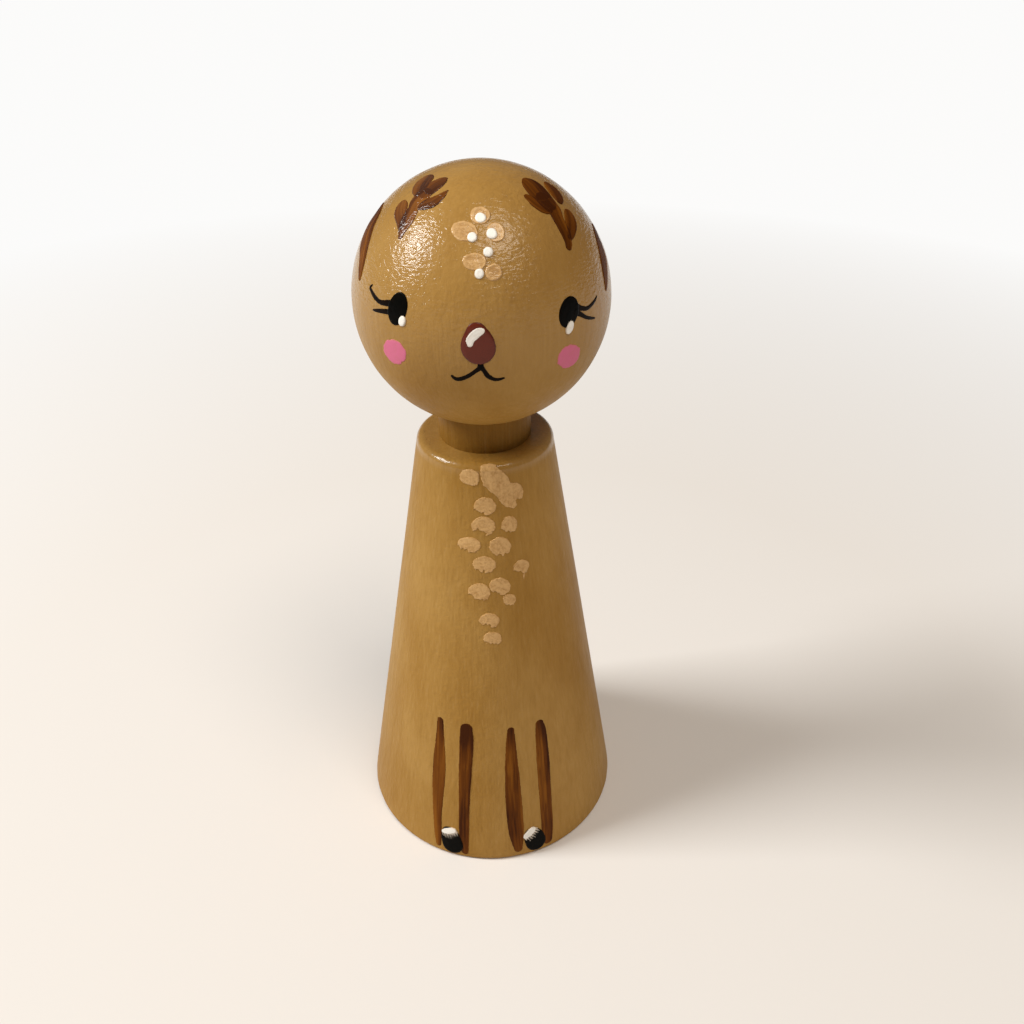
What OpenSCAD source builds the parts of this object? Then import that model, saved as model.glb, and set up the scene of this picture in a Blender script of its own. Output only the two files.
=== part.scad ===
// Painted wooden peg doll: a turned cone, a dowel neck and a ball head, with a deer
// painted on in raised strokes. The face looks along -Y, and left is the side of -X.
// Places on the head are [turn, rise] in degrees: turn from the front towards +X, rise from the head's middle.

/* [Body] */
// Diameter of the body's foot
foot_d = 36; // [30:0.5:44]
// Diameter that the cone's side reaches at the shoulder
shoulder_d = 16.2; // [14.5:0.1:20]
// Height of the body from the table to the shoulder
body_h = 59; // [48:0.5:75]
// Rounding of the shoulder's edge
shoulder_round = 0.9; // [0.3:0.1:1.2]
// Rounding of the foot's edge
foot_round = 0.6; // [0.2:0.1:1.2]

/* [Neck dowel] */
// Diameter of the dowel
neck_d = 11; // [9:0.25:12]
// Length of dowel that shows between the shoulder and the head
neck_show = 3.9; // [2:0.1:8]
// Depth of the dowel in the body
neck_in_body = 12; // [8:0.5:18]
// Depth of the dowel in the head
neck_in_head = 9; // [6:0.5:12]
// Chamfer on the dowel's two ends
neck_chamfer = 0.5; // [0.2:0.1:1]
// Gap round the dowel for the glue
glue_gap = 0.05; // [0.03:0.01:0.1]
// Gap over the dowel's end in the head
glue_pocket = 0.5; // [0.3:0.1:1]

/* [Head] */
// Diameter of the head
head_d = 28.2; // [25:0.2:34]

/* [Paint] */
// Thickness of a raised stroke or dab
paint_t = 0.25; // [0.15:0.05:0.4]
// Thickness of a white dot laid over another mark
dot_t = 0.2; // [0.1:0.05:0.3]
// Thickness of the cheeks' thin colour
cheek_t = 0.12; // [0.08:0.02:0.2]
// How far the wet edge of a mark has crept outwards
edge_creep = 0.03; // [0:0.01:0.06]
// Widest width of an ear stroke
ear_w = 2.9; // [2.2:0.1:3.2]
// Widest width of an antler's stem
antler_stem_w = 2.2; // [1.8:0.1:2.4]
// Widest width of an antler's tine
antler_tine_w = 2.3; // [1.9:0.1:2.5]
// Width of the wider eye
eye_w = 2.6; // [2.2:0.1:3]
// Height of the taller eye
eye_h = 3.5; // [3.1:0.1:3.8]
// Width of an eyelash where it leaves the eye
lash_w = 0.6; // [0.45:0.05:0.7]
// Length of the cheeks
cheek_l = 3.5; // [3:0.1:4.4]
// Height of the cheeks
cheek_h = 2.7; // [2:0.1:2.9]
// Width of the nose at its widest, which is low down
nose_w = 3.4; // [2.8:0.1:4]
// Height of the nose
nose_h = 4.3; // [4.05:0.05:5]
// Width of the mouth's line
mouth_w = 0.42; // [0.3:0.02:0.6]
// Radius of the mouth's left bow
mouth_left_r = 2; // [1.6:0.1:2.4]
// Radius of the mouth's right bow
mouth_right_r = 1.7; // [1.4:0.1:2.1]
// Width of the largest forehead dab
forehead_dab_w = 2.7; // [2.2:0.1:3]
// Width of the largest white forehead dot
forehead_dot_w = 1.2; // [0.8:0.05:1.5]
// Width of the largest chest dab
chest_dab_w = 3; // [2.4:0.1:3.2]
// Length of the leg strokes
leg_l = 22; // [18:0.5:26]
// Width of the widest leg stroke
leg_w = 2.3; // [1.6:0.1:2.6]
// Width of the hooves
hoof_w = 3; // [2.6:0.1:3.4]
// Height of the hooves
hoof_h = 4.2; // [3.6:0.1:4.4]

/* [Hidden] */
$fn = 96;
// Fineness of the marks' outlines
mark_fn = 32;

// Runs past a face so that a cut is clean
overrun = 1;

// The turned cone
foot_r = foot_d / 2;
shoulder_r = shoulder_d / 2;
side_slope = atan2(foot_r - shoulder_r, body_h);
function side_r(z) = foot_r + (shoulder_r - foot_r) * z / body_h;

// The head rests on the dowel, so its height follows from the neck that shows
neck_r = neck_d / 2;
head_r = head_d / 2;
head_seat_z = body_h + neck_show;
head_z = head_seat_z + sqrt(pow(head_r, 2) - pow(neck_r, 2));
neck_foot_z = body_h - neck_in_body;
neck_top_z = head_seat_z + neck_in_head;

// Where an outline starts on its way out through the surface, as a share of the head's or the shoulder's radius
reach_share = 0.5;

wood_colour = [0.71, 0.54, 0.30];
bare_colour = [0.86, 0.72, 0.50];
brown_colour = [0.37, 0.19, 0.03];
tan_colour = [0.79, 0.62, 0.40];
black_colour = [0.05, 0.04, 0.02];
white_colour = [0.93, 0.88, 0.80];
pink_colour = [0.85, 0.47, 0.55];
nose_colour = [0.36, 0.14, 0.09];

// Strokes on the head: turn, rise and width of each point, the width as a share of the stroke's named width
antler_left_at = [-49, 54];
antler_left_stem_shares = [[-47, 38.5, 0.2], [-47, 45.5, 0.47], [-47, 49.5, 0.54], [-48.5, 53, 0.42], [-49.5, 59, 0.7]];
antler_left_tine_shares = [
    [[-54, 57.5, 0.35], [-61, 61, 0.7], [-67.5, 65, 1], [-73, 68.5, 0.4]],
    [[-50.5, 58.5, 0.55], [-50, 62.5, 0.8], [-48.5, 68, 0.75], [-46, 71, 0.4]],
    [[-47, 54, 0.35], [-41, 57, 0.62], [-34.5, 60.5, 0.5], [-31, 64.5, 0.12]],
    [[-49, 42.5, 0.27], [-55, 47, 0.63], [-60, 50.2, 0.65], [-64.5, 52.5, 0.25]]];
antler_right_at = [54, 48];
antler_right_stem_shares = [[47.5, 33.5, 0.33], [51.5, 40, 0.53], [55, 47, 0.7], [57, 51, 0.8], [56, 54.5, 1]];
antler_right_tine_shares = [
    [[56, 54.5, 0.9], [54.7, 60, 1], [54.7, 64, 0.85], [57.5, 67, 0.37]],
    [[52, 49.5, 0.3], [47, 51.5, 0.43], [43, 54.5, 0.52], [39.5, 59, 0.33]],
    [[63, 51, 0.4], [67.5, 53.5, 0.76], [72, 57, 0.78], [78, 60.5, 0.3]],
    [[50.5, 37, 0.25], [55, 40, 0.52], [61, 43.5, 0.7], [65, 46.5, 0.36]]];
ear_left_at = [-77, 34];
ear_left_shares = [
    [-92.5, 45.5, 0.36], [-82, 40.3, 1], [-75.5, 35.5, 0.88], [-71, 30, 0.62], [-68.5, 24.5, 0.48], [-66.5, 17, 0.2]];
ear_right_at = [77, 24];
ear_right_shares = [
    [85.5, 37, 0.24], [82, 30.5, 0.6], [76.5, 23.5, 0.86], [73, 18.5, 0.75], [69.5, 13.5, 0.36], [67.5, 10, 0.15]];
forehead_at = [0, 42];
// Forehead dabs: turn, rise, long size and short size as shares of forehead_dab_w, lean of the long side
forehead_dab_shares = [
    [0, 53.4, 0.74, 0.72, 0],
    [-9, 46.4, 1, 0.76, -65],
    [8.6, 45.7, 0.78, 0.66, 0],
    [-3.1, 34.2, 0.87, 0.62, -86],
    [5.4, 30.1, 0.6, 0.58, 60]];
// White dots over them: turn, rise, width as a share of forehead_dot_w
forehead_dot_shares = [
    [0.2, 52, 0.96],
    [-4.5, 43.8, 0.86],
    [6.1, 45.1, 0.97],
    [3.5, 37.9, 0.85],
    [-1, 29.6, 0.83]];
eye_left_at = [-37, 12.7];
eye_right_at = [38, 10];
// Width and height of each eye as shares of eye_w and eye_h
eye_left_shares = [0.88, 1];
eye_right_shares = [1, 0.9];
eye_left_lean = 17;
eye_right_lean = 28;
lash_left_shares = [
    [[-41, 14, 1], [-47, 13, 0.87], [-51, 14, 0.83], [-55.5, 16.5, 0.6]],
    [[-40.5, 10.5, 0.9], [-46, 9.6, 0.78], [-51.7, 8.5, 0.4]]];
lash_right_shares = [
    [[42.5, 11, 1], [45.5, 9.5, 0.8], [49, 8.5, 0.8], [52.5, 9, 0.8], [57, 11, 0.5]],
    [[41.5, 9, 1], [45, 7, 0.8], [48, 5, 0.65], [54.5, 2.5, 0.4]]];
eye_glint_left_at = [-34.1, 8.5];
eye_glint_right_at = [37.7, 3.8];
// The two glints' widths and heights as shares of eye_w and eye_h
eye_glint_shares = [0.38, 0.35];
cheek_left_at = [-39.7, -6.3];
cheek_right_at = [39, -9.7];
cheek_lean = 60;
nose_at = [-2, 2.7];
// Width of the nose's narrow top as a share of nose_w
nose_top_share = 0.6;
nose_lean = -3;
// The nose's glint, its widths as shares of nose_w
nose_glint_shares = [[-0.5, 8, 0.16], [-2.1, 7.3, 0.22], [-4, 5.9, 0.22], [-5.4, 4, 0.18], [-5.5, 2.2, 0.13]];
mouth_at = [-1.2, -6.7];
// Where the two bows start and end, counted round their own centres
mouth_left_arc = [-8, -112];
mouth_right_arc = [183, 290];

// Marks on the cone: turn, then the height as a share of body_h
chest_turn = 5;
chest_share = 0.8;
// Chest dabs: turn, height share, long size and short size as shares of chest_dab_w, lean of the long side
chest_dab_shares = [
    [-13.3, 0.965, 0.88, 0.68, 75],
    [1.5, 0.961, 0.79, 0.77, 0],
    [8.6, 0.955, 0.85, 0.78, -33],
    [15.6, 0.942, 0.86, 0.73, -43],
    [24.6, 0.942, 0.67, 0.52, -27],
    [17.8, 0.918, 0.62, 0.51, -27],
    [-1.3, 0.915, 0.88, 0.78, 83],
    [-2.8, 0.872, 0.93, 0.84, 75],
    [16.1, 0.87, 0.84, 0.63, -14],
    [-13.1, 0.832, 0.98, 0.6, 77],
    [8.8, 0.826, 0.92, 0.83, -39],
    [-2.7, 0.789, 0.93, 0.74, 85],
    [22.7, 0.772, 0.78, 0.57, -53],
    [7.3, 0.736, 0.87, 0.78, -57],
    [-6.2, 0.724, 0.94, 0.85, 37],
    [13.1, 0.703, 0.59, 0.49, -49],
    [0.1, 0.66, 0.82, 0.67, -88],
    [1.6, 0.616, 0.75, 0.65, -83]];
// Height share of the legs' foot ends
leg_foot_share = 0.024;
// Leg strokes from the top down: turn, height above the foot end as a share of leg_l, width as a share of leg_w
leg_shares = [
    [[-28.3, 0.98, 0.42], [-28, 0.8, 0.62], [-27.8, 0.54, 0.86], [-27.6, 0.26, 0.6], [-26.4, 0.02, 0.4]],
    [[-13.5, 0.96, 0.72], [-13.4, 0.84, 0.83], [-13.8, 0.6, 0.77], [-14.2, 0.3, 0.67], [-13.7, 0.04, 0.52]],
    [[9.9, 0.97, 0.42], [9.5, 0.75, 0.72], [9.7, 0.44, 0.98], [10, 0.28, 1], [10.8, 0.04, 0.6]],
    [[26, 0.95, 0.55], [26.4, 0.8, 0.8], [26.2, 0.5, 0.85], [25.8, 0.25, 0.82], [25.2, 0.03, 0.65]]];
// Hooves: turn, height share of the middle, lean
hoof_left_shares = [-19.3, 0.049, 21];
hoof_right_shares = [18.7, 0.046, -23];
// Their glints: how far across and up from the hoof's middle, as shares of the hoof's width and height, lean
hoof_glint_left_shares = [-0.18, 0.31, 66];
hoof_glint_right_shares = [-0.24, 0.3, 48];
// The glints' long and short sizes as shares of the hoof's width and height
hoof_glint_size_shares = [0.78, 0.36];
// Roundness of an oval's two ends, as a share of its width
oval_end_share = 0.38;

// Points and outlines
// Where a place on the head falls in the flat outline of a mark whose middle is at c
function flat(p, c) = let (d = p[0] - c[0]) head_r * [
    cos(p[1]) * sin(d),
    sin(p[1]) * cos(c[1]) - cos(p[1]) * sin(c[1]) * cos(d)];
// The same for a turn and a height on the cone's side
function flat_side(p, c) = [side_r(p[1]) * sin(p[0] - c[0]), (p[1] - c[1]) / cos(side_slope)];

// A tapering stroke with round ends from a to b. In each direction its outline follows the end that reaches further
module dash(a, b, a_w, b_w)
    polygon([
        for (i = [1 : mark_fn])
            let (d = [cos(360 * i / mark_fn), sin(360 * i / mark_fn)])
                a * d + a_w / 2 > b * d + b_w / 2 ? a + d * a_w / 2 : b + d * b_w / 2]);

// Strokes joined end to end, one width for each point
module trail(points, widths)
    for (i = [1 : len(points) - 1])
        dash(points[i - 1], points[i], widths[i - 1], widths[i]);

// A stroke on the head, in the flat of a mark whose middle is at c
module stroke(line, c, w) trail([for (p = line) flat(p, c)], [for (p = line) w * p[2]]);

// An oval of four arcs, its long side leaning by lean degrees to the right of upright
module oval(long, short, lean = 0) {
    $fn = mark_fn;
    end_r = short * oval_end_share;
    end_y = long / 2 - end_r;
    side = (pow(short / 2, 2) + pow(end_y, 2) - pow(end_r, 2)) / (short - 2 * end_r);
    meet_y = end_y * side / (side - end_r);
    rotate(-lean) {
        translate([0, end_y]) circle(end_r);
        translate([0, -end_y]) circle(end_r);
        intersection() {
            translate([side - short / 2, 0]) circle(side);
            translate([short / 2 - side, 0]) circle(side);
            square([short, 2 * meet_y], center = true);
        }
    }
}

// Part of a ring of radius r with round ends, through less than 120 degrees
module bow(r, w, start, end) {
    $fn = 2 * mark_fn;
    half = (start + end) / 2;
    intersection() {
        difference() {
            circle(r + w / 2);
            circle(r - w / 2);
        }
        polygon([[0, 0], 2 * r * [cos(start), sin(start)], 2 * r * [cos(half), sin(half)], 2 * r * [cos(end), sin(end)]]);
    }
    for (a = [start, end]) translate(r * [cos(a), sin(a)]) circle(d = w);
}

// Joins the strokes of a mark into one outline, whose wet edge has crept outwards a little
module brushed() offset(delta = edge_creep) children();

// Lays a flat outline on the head as a film that starts at a height and is thick deep
module on_head(at, start, thick)
    translate([0, 0, head_z])
        difference() {
            intersection() {
                rotate([90 - at[1], 0, at[0]])
                    translate([0, 0, head_r * reach_share])
                        linear_extrude(head_r)
                            children();
                sphere(head_r + start + thick);
            }
            sphere(head_r + start);
        }

// The cone's side moved outwards
module side(out)
    cylinder(r1 = foot_r + out / cos(side_slope), r2 = shoulder_r + out / cos(side_slope), h = body_h);

// Lays a flat outline on the cone's side in the same way, at a turn and a height
module on_body(at, start, thick)
    difference() {
        intersection() {
            rotate([0, 0, at[0]])
                translate([0, -side_r(at[1]), at[1]])
                    rotate([90 - side_slope, 0, 0])
                        translate([0, 0, -shoulder_r * reach_share])
                            linear_extrude(shoulder_r)
                                children();
            side(start + thick);
        }
        side(start);
    }

module body_profile() {
    foot_c = [side_r(foot_round) - foot_round / cos(side_slope), foot_round];
    top_z = body_h - shoulder_round;
    top_c = [side_r(top_z) - shoulder_round / cos(side_slope), top_z];
    out = [cos(side_slope), sin(side_slope)];
    polygon([
        [0, 0],
        [foot_c[0], 0],
        foot_c + foot_round * out,
        top_c + shoulder_round * out,
        [top_c[0], body_h],
        [0, body_h]]);
    translate(foot_c) circle(foot_round);
    translate(top_c) circle(shoulder_round);
}

module body()
    color(wood_colour)
        difference() {
            rotate_extrude() body_profile();
            translate([0, 0, neck_foot_z])
                cylinder(r = neck_r + glue_gap, h = neck_in_body + overrun);
        }

module neck_peg()
    color(bare_colour)
        rotate_extrude()
            polygon([
                [0, neck_foot_z],
                [neck_r - neck_chamfer, neck_foot_z],
                [neck_r, neck_foot_z + neck_chamfer],
                [neck_r, neck_top_z - neck_chamfer],
                [neck_r - neck_chamfer, neck_top_z],
                [0, neck_top_z]]);

module head()
    color(wood_colour)
        difference() {
            translate([0, 0, head_z]) sphere(head_r);
            translate([0, 0, head_z - head_r - overrun])
                cylinder(r = neck_r + glue_gap, h = neck_top_z + glue_pocket - head_z + head_r + overrun);
        }

module antler(at, stem, tines)
    color(brown_colour)
        on_head(at, 0, paint_t)
            brushed() {
                stroke(stem, at, antler_stem_w);
                for (t = tines) stroke(t, at, antler_tine_w);
            }
module antler_left() antler(antler_left_at, antler_left_stem_shares, antler_left_tine_shares);
module antler_right() antler(antler_right_at, antler_right_stem_shares, antler_right_tine_shares);

module ear(at, line)
    color(brown_colour)
        on_head(at, 0, paint_t)
            brushed() stroke(line, at, ear_w);
module ear_left() ear(ear_left_at, ear_left_shares);
module ear_right() ear(ear_right_at, ear_right_shares);

// The white dots are laid after the dabs, so the dabs are open under them
module forehead_dot_outline()
    brushed()
        for (d = forehead_dot_shares)
            translate(flat(d, forehead_at))
                circle(d = forehead_dot_w * d[2], $fn = mark_fn);

module forehead_dabs()
    color(tan_colour)
        on_head(forehead_at, 0, paint_t)
            difference() {
                brushed()
                    for (d = forehead_dab_shares)
                        translate(flat(d, forehead_at))
                            oval(forehead_dab_w * d[2], forehead_dab_w * d[3], d[4]);
                forehead_dot_outline();
            }

module forehead_dots()
    color(white_colour)
        on_head(forehead_at, 0, paint_t + dot_t)
            forehead_dot_outline();

module eye_glint_outline(at, glint_at, lean)
    translate(flat(glint_at, at))
        brushed() oval(eye_h * eye_glint_shares[1], eye_w * eye_glint_shares[0], lean);

module eye(at, shares, glint_at, lean, lashes)
    color(black_colour)
        on_head(at, 0, paint_t)
            difference() {
                brushed() {
                    oval(eye_h * shares[1], eye_w * shares[0], lean);
                    for (l = lashes) stroke(l, at, lash_w);
                }
                eye_glint_outline(at, glint_at, lean);
            }
module eye_left() eye(eye_left_at, eye_left_shares, eye_glint_left_at, eye_left_lean, lash_left_shares);
module eye_right() eye(eye_right_at, eye_right_shares, eye_glint_right_at, eye_right_lean, lash_right_shares);

module eye_glint(at, glint_at, lean)
    color(white_colour)
        on_head(at, 0, paint_t + dot_t)
            eye_glint_outline(at, glint_at, lean);
module eye_glint_left() eye_glint(eye_left_at, eye_glint_left_at, eye_left_lean);
module eye_glint_right() eye_glint(eye_right_at, eye_glint_right_at, eye_right_lean);

module cheek(at, lean)
    color(pink_colour)
        on_head(at, 0, cheek_t)
            brushed() oval(cheek_l, cheek_h, lean);
module cheek_left() cheek(cheek_left_at, cheek_lean);
module cheek_right() cheek(cheek_right_at, -cheek_lean);

// The nose is an egg, wide at the bottom
module nose_outline() {
    low = [0, (nose_w - nose_h) / 2];
    top = [0, (nose_h - nose_w * nose_top_share) / 2];
    brushed() rotate(-nose_lean) dash(low, top, nose_w, nose_w * nose_top_share);
}

module nose()
    color(nose_colour)
        on_head(nose_at, 0, paint_t)
            nose_outline();

module nose_glint()
    color(white_colour)
        on_head(nose_at, paint_t, dot_t)
            brushed() stroke(nose_glint_shares, nose_at, nose_w);

// The mouth hangs from the nose as two bows, which start under the nose's paint
module mouth()
    color(black_colour)
        on_head(nose_at, 0, paint_t)
            difference() {
                translate(flat(mouth_at, nose_at))
                    brushed() {
                        translate(-mouth_left_r * [cos(mouth_left_arc[0]), sin(mouth_left_arc[0])])
                            bow(mouth_left_r, mouth_w, mouth_left_arc[0], mouth_left_arc[1]);
                        translate(-mouth_right_r * [cos(mouth_right_arc[0]), sin(mouth_right_arc[0])])
                            bow(mouth_right_r, mouth_w, mouth_right_arc[0], mouth_right_arc[1]);
                    }
                nose_outline();
            }

module chest_dabs() {
    at = [chest_turn, body_h * chest_share];
    color(tan_colour)
        on_body(at, 0, paint_t)
            brushed()
                for (d = chest_dab_shares)
                    translate(flat_side([d[0], body_h * d[1]], at))
                        oval(chest_dab_w * d[2], chest_dab_w * d[3], d[4]);
}

// Outlines of a hoof and its glint, in the flat of a mark whose middle is at c
module hoof_outline(s, c)
    translate(flat_side([s[0], body_h * s[1]], c))
        brushed() oval(hoof_h, hoof_w, s[2]);
module hoof_glint_outline(s, glint, c)
    translate(flat_side([s[0], body_h * s[1]], c) + [hoof_w * glint[0], hoof_h * glint[1]])
        brushed() oval(hoof_w * hoof_glint_size_shares[0], hoof_h * hoof_glint_size_shares[1], glint[2]);

// A leg ends under the hoof that is painted over it
module leg(line, hoof, glint) {
    low = body_h * leg_foot_share;
    at = [hoof[0], low + leg_l / 2];
    color(brown_colour)
        on_body(at, 0, paint_t)
            difference() {
                brushed() trail([for (p = line) flat_side([p[0], low + leg_l * p[1]], at)], [for (p = line) leg_w * p[2]]);
                hoof_outline(hoof, at);
                hoof_glint_outline(hoof, glint, at);
            }
}
module leg_1() leg(leg_shares[0], hoof_left_shares, hoof_glint_left_shares);
module leg_2() leg(leg_shares[1], hoof_left_shares, hoof_glint_left_shares);
module leg_3() leg(leg_shares[2], hoof_right_shares, hoof_glint_right_shares);
module leg_4() leg(leg_shares[3], hoof_right_shares, hoof_glint_right_shares);

module hoof(s, glint) {
    at = [s[0], body_h * s[1]];
    color(black_colour)
        on_body(at, 0, paint_t + dot_t)
            difference() {
                hoof_outline(s, at);
                hoof_glint_outline(s, glint, at);
            }
}
module hoof_left() hoof(hoof_left_shares, hoof_glint_left_shares);
module hoof_right() hoof(hoof_right_shares, hoof_glint_right_shares);

module hoof_glint(s, glint) {
    at = [s[0], body_h * s[1]];
    color(white_colour)
        on_body(at, 0, paint_t + 2 * dot_t)
            hoof_glint_outline(s, glint, at);
}
module hoof_glint_left() hoof_glint(hoof_left_shares, hoof_glint_left_shares);
module hoof_glint_right() hoof_glint(hoof_right_shares, hoof_glint_right_shares);

body();
neck_peg();
head();
antler_left();
antler_right();
ear_left();
ear_right();
forehead_dabs();
forehead_dots();
eye_left();
eye_right();
eye_glint_left();
eye_glint_right();
cheek_left();
cheek_right();
nose();
nose_glint();
mouth();
chest_dabs();
leg_1();
leg_2();
leg_3();
leg_4();
hoof_left();
hoof_right();
hoof_glint_left();
hoof_glint_right();
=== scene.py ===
import math
from dataclasses import dataclass

import bpy
import numpy as np
from mathutils import Matrix, Vector


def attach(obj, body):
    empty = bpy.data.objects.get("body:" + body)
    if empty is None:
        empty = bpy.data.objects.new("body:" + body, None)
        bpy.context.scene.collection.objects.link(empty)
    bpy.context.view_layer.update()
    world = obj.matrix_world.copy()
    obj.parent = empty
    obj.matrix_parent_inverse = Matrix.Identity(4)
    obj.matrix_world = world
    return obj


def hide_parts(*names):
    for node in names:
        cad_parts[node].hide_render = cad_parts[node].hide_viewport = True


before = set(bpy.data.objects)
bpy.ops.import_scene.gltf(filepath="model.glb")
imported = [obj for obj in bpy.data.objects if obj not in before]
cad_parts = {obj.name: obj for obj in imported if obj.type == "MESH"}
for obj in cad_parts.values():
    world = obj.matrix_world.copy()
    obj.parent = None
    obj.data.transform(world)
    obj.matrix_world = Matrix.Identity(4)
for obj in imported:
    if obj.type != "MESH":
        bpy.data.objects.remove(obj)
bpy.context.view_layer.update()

# Lengths in this script are in millimetres until a mesh, a lamp or the camera is made
MM = 0.001

# Driving sizes of the doll, as in the model
FOOT_D, SHOULDER_D, BODY_H = 36.0, 16.2, 59.0
SHOULDER_ROUND, FOOT_ROUND = 0.9, 0.6
NECK_D, NECK_SHOW = 11.0, 3.9
HEAD_D = 28.2

FOOT_R, SHOULDER_R, NECK_R, HEAD_R = FOOT_D / 2, SHOULDER_D / 2, NECK_D / 2, HEAD_D / 2
SLOPE = math.atan2(FOOT_R - SHOULDER_R, BODY_H)
SHOULDER_TOP_Z = BODY_H - SHOULDER_ROUND
HEAD_SEAT_Z = BODY_H + NECK_SHOW
HEAD_Z = HEAD_SEAT_Z + math.sqrt(HEAD_R ** 2 - NECK_R ** 2)

# Camera, at the photograph's angle. The photograph is 1024 pixels wide and high
PHOTO_SIDE = 1024
FOCAL_PX = 920.3
SENSOR_W = 36.0
CAMERA_AT = (0.0, -96.3, 113.8)
CAMERA_AZIMUTH, CAMERA_DOWN, CAMERA_ROLL = -1.9, 34.75, -0.22
CLIP_START = 5.0


def add_camera():
    data = bpy.data.cameras.new("photo_camera")
    data.sensor_width = SENSOR_W
    data.lens = FOCAL_PX * SENSOR_W / PHOTO_SIDE
    data.clip_start = CLIP_START * MM
    camera = bpy.data.objects.new("photo_camera", data)
    camera.location = Vector(CAMERA_AT) * MM
    azimuth, down, roll = (math.radians(a) for a in (CAMERA_AZIMUTH, CAMERA_DOWN, CAMERA_ROLL))
    ahead = Vector((-math.sin(azimuth) * math.cos(down), math.cos(azimuth) * math.cos(down), -math.sin(down)))
    level = ahead.to_track_quat("-Z", "Y").to_matrix()
    camera.rotation_euler = (level @ Matrix.Rotation(roll, 3, "Z")).to_euler()
    bpy.context.scene.collection.objects.link(camera)
    bpy.context.scene.camera = camera


# Floor and light
FLOOR_COLOUR = (0.76, 0.71, 0.68, 1)
FLOOR_SIDE = 5000
BACKDROP = (0.97, 0.965, 0.955, 1)
# How far from the doll the floor begins to glow, and where it is all glow
GLOW_START, GLOW_FULL = 90, 300
WORLD_COLOUR, WORLD_STRENGTH = (1.0, 0.97, 0.91, 1), 0.15
# Each lamp's name, azimuth from the front towards +X, rise, distance, side, power in watts and tint
LAMPS = [
    ("window_left", -87, 41, 950, 320, 9.2, (0.95, 0.98, 0.965)),
    ("soft_front_right", 35, 67, 1050, 480, 5.8, (1.0, 0.92, 0.80))]


def add_floor():
    """A pale floor. Its far part glows for the rays that the camera sees, and so meets the background."""
    half = FLOOR_SIDE / 2 * MM
    mesh = bpy.data.meshes.new("floor")
    corners = [(-half, -half, 0), (half, -half, 0), (half, half, 0), (-half, half, 0)]
    mesh.from_pydata(corners, [], [(0, 1, 2, 3)])
    floor = bpy.data.objects.new("floor", mesh)
    bpy.context.scene.collection.objects.link(floor)
    g = Graph("floor_pale")
    g.set(Base_Color=FLOOR_COLOUR, Roughness=0.8, Specular_IOR_Level=0.15)
    away = g.nodes.new("ShaderNodeVectorMath")
    away.operation = "LENGTH"
    g.links.new(g.place(), away.inputs[0])
    glow = g.nodes.new("ShaderNodeEmission")
    glow.inputs["Color"].default_value = BACKDROP
    share = g.math("MULTIPLY", g.spread(away.outputs["Value"], GLOW_START, GLOW_FULL), g.seen_rays())
    blend = g.nodes.new("ShaderNodeMixShader")
    g.links.new(share, blend.inputs["Fac"])
    g.links.new(g.bsdf.outputs["BSDF"], blend.inputs[1])
    g.links.new(glow.outputs["Emission"], blend.inputs[2])
    g.links.new(blend.outputs["Shader"], g.nodes["Material Output"].inputs["Surface"])
    mesh.materials.append(g.material)


def add_lamp(name, azimuth, rise, distance, side, power, tint):
    """A square area lamp that faces the doll's shoulder."""
    data = bpy.data.lights.new(name, "AREA")
    data.size = side * MM
    data.energy = power
    data.color = tint
    lamp = bpy.data.objects.new(name, data)
    a, r = math.radians(azimuth), math.radians(rise)
    out = Vector((math.sin(a) * math.cos(r), -math.cos(a) * math.cos(r), math.sin(r)))
    aim = Vector((0, 0, BODY_H * MM))
    lamp.location = aim + out * (distance * MM)
    lamp.rotation_euler = (-out).to_track_quat("-Z", "Y").to_euler()
    bpy.context.scene.collection.objects.link(lamp)


def add_light():
    for lamp in LAMPS:
        add_lamp(*lamp)
    world = bpy.data.worlds.new("studio")
    bpy.context.scene.world = world
    world.use_nodes = True
    nodes, links = world.node_tree.nodes, world.node_tree.links
    soft = nodes["Background"]
    soft.inputs["Color"].default_value = WORLD_COLOUR
    soft.inputs["Strength"].default_value = WORLD_STRENGTH
    shown = nodes.new("ShaderNodeBackground")
    shown.inputs["Color"].default_value = BACKDROP
    path = nodes.new("ShaderNodeLightPath")
    blend = nodes.new("ShaderNodeMixShader")
    links.new(path.outputs["Is Camera Ray"], blend.inputs["Fac"])
    links.new(soft.outputs["Background"], blend.inputs[1])
    links.new(shown.outputs["Background"], blend.inputs[2])
    links.new(blend.outputs["Shader"], nodes["World Output"].inputs["Surface"])
    bpy.context.scene.view_settings.view_transform = "Standard"


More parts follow.
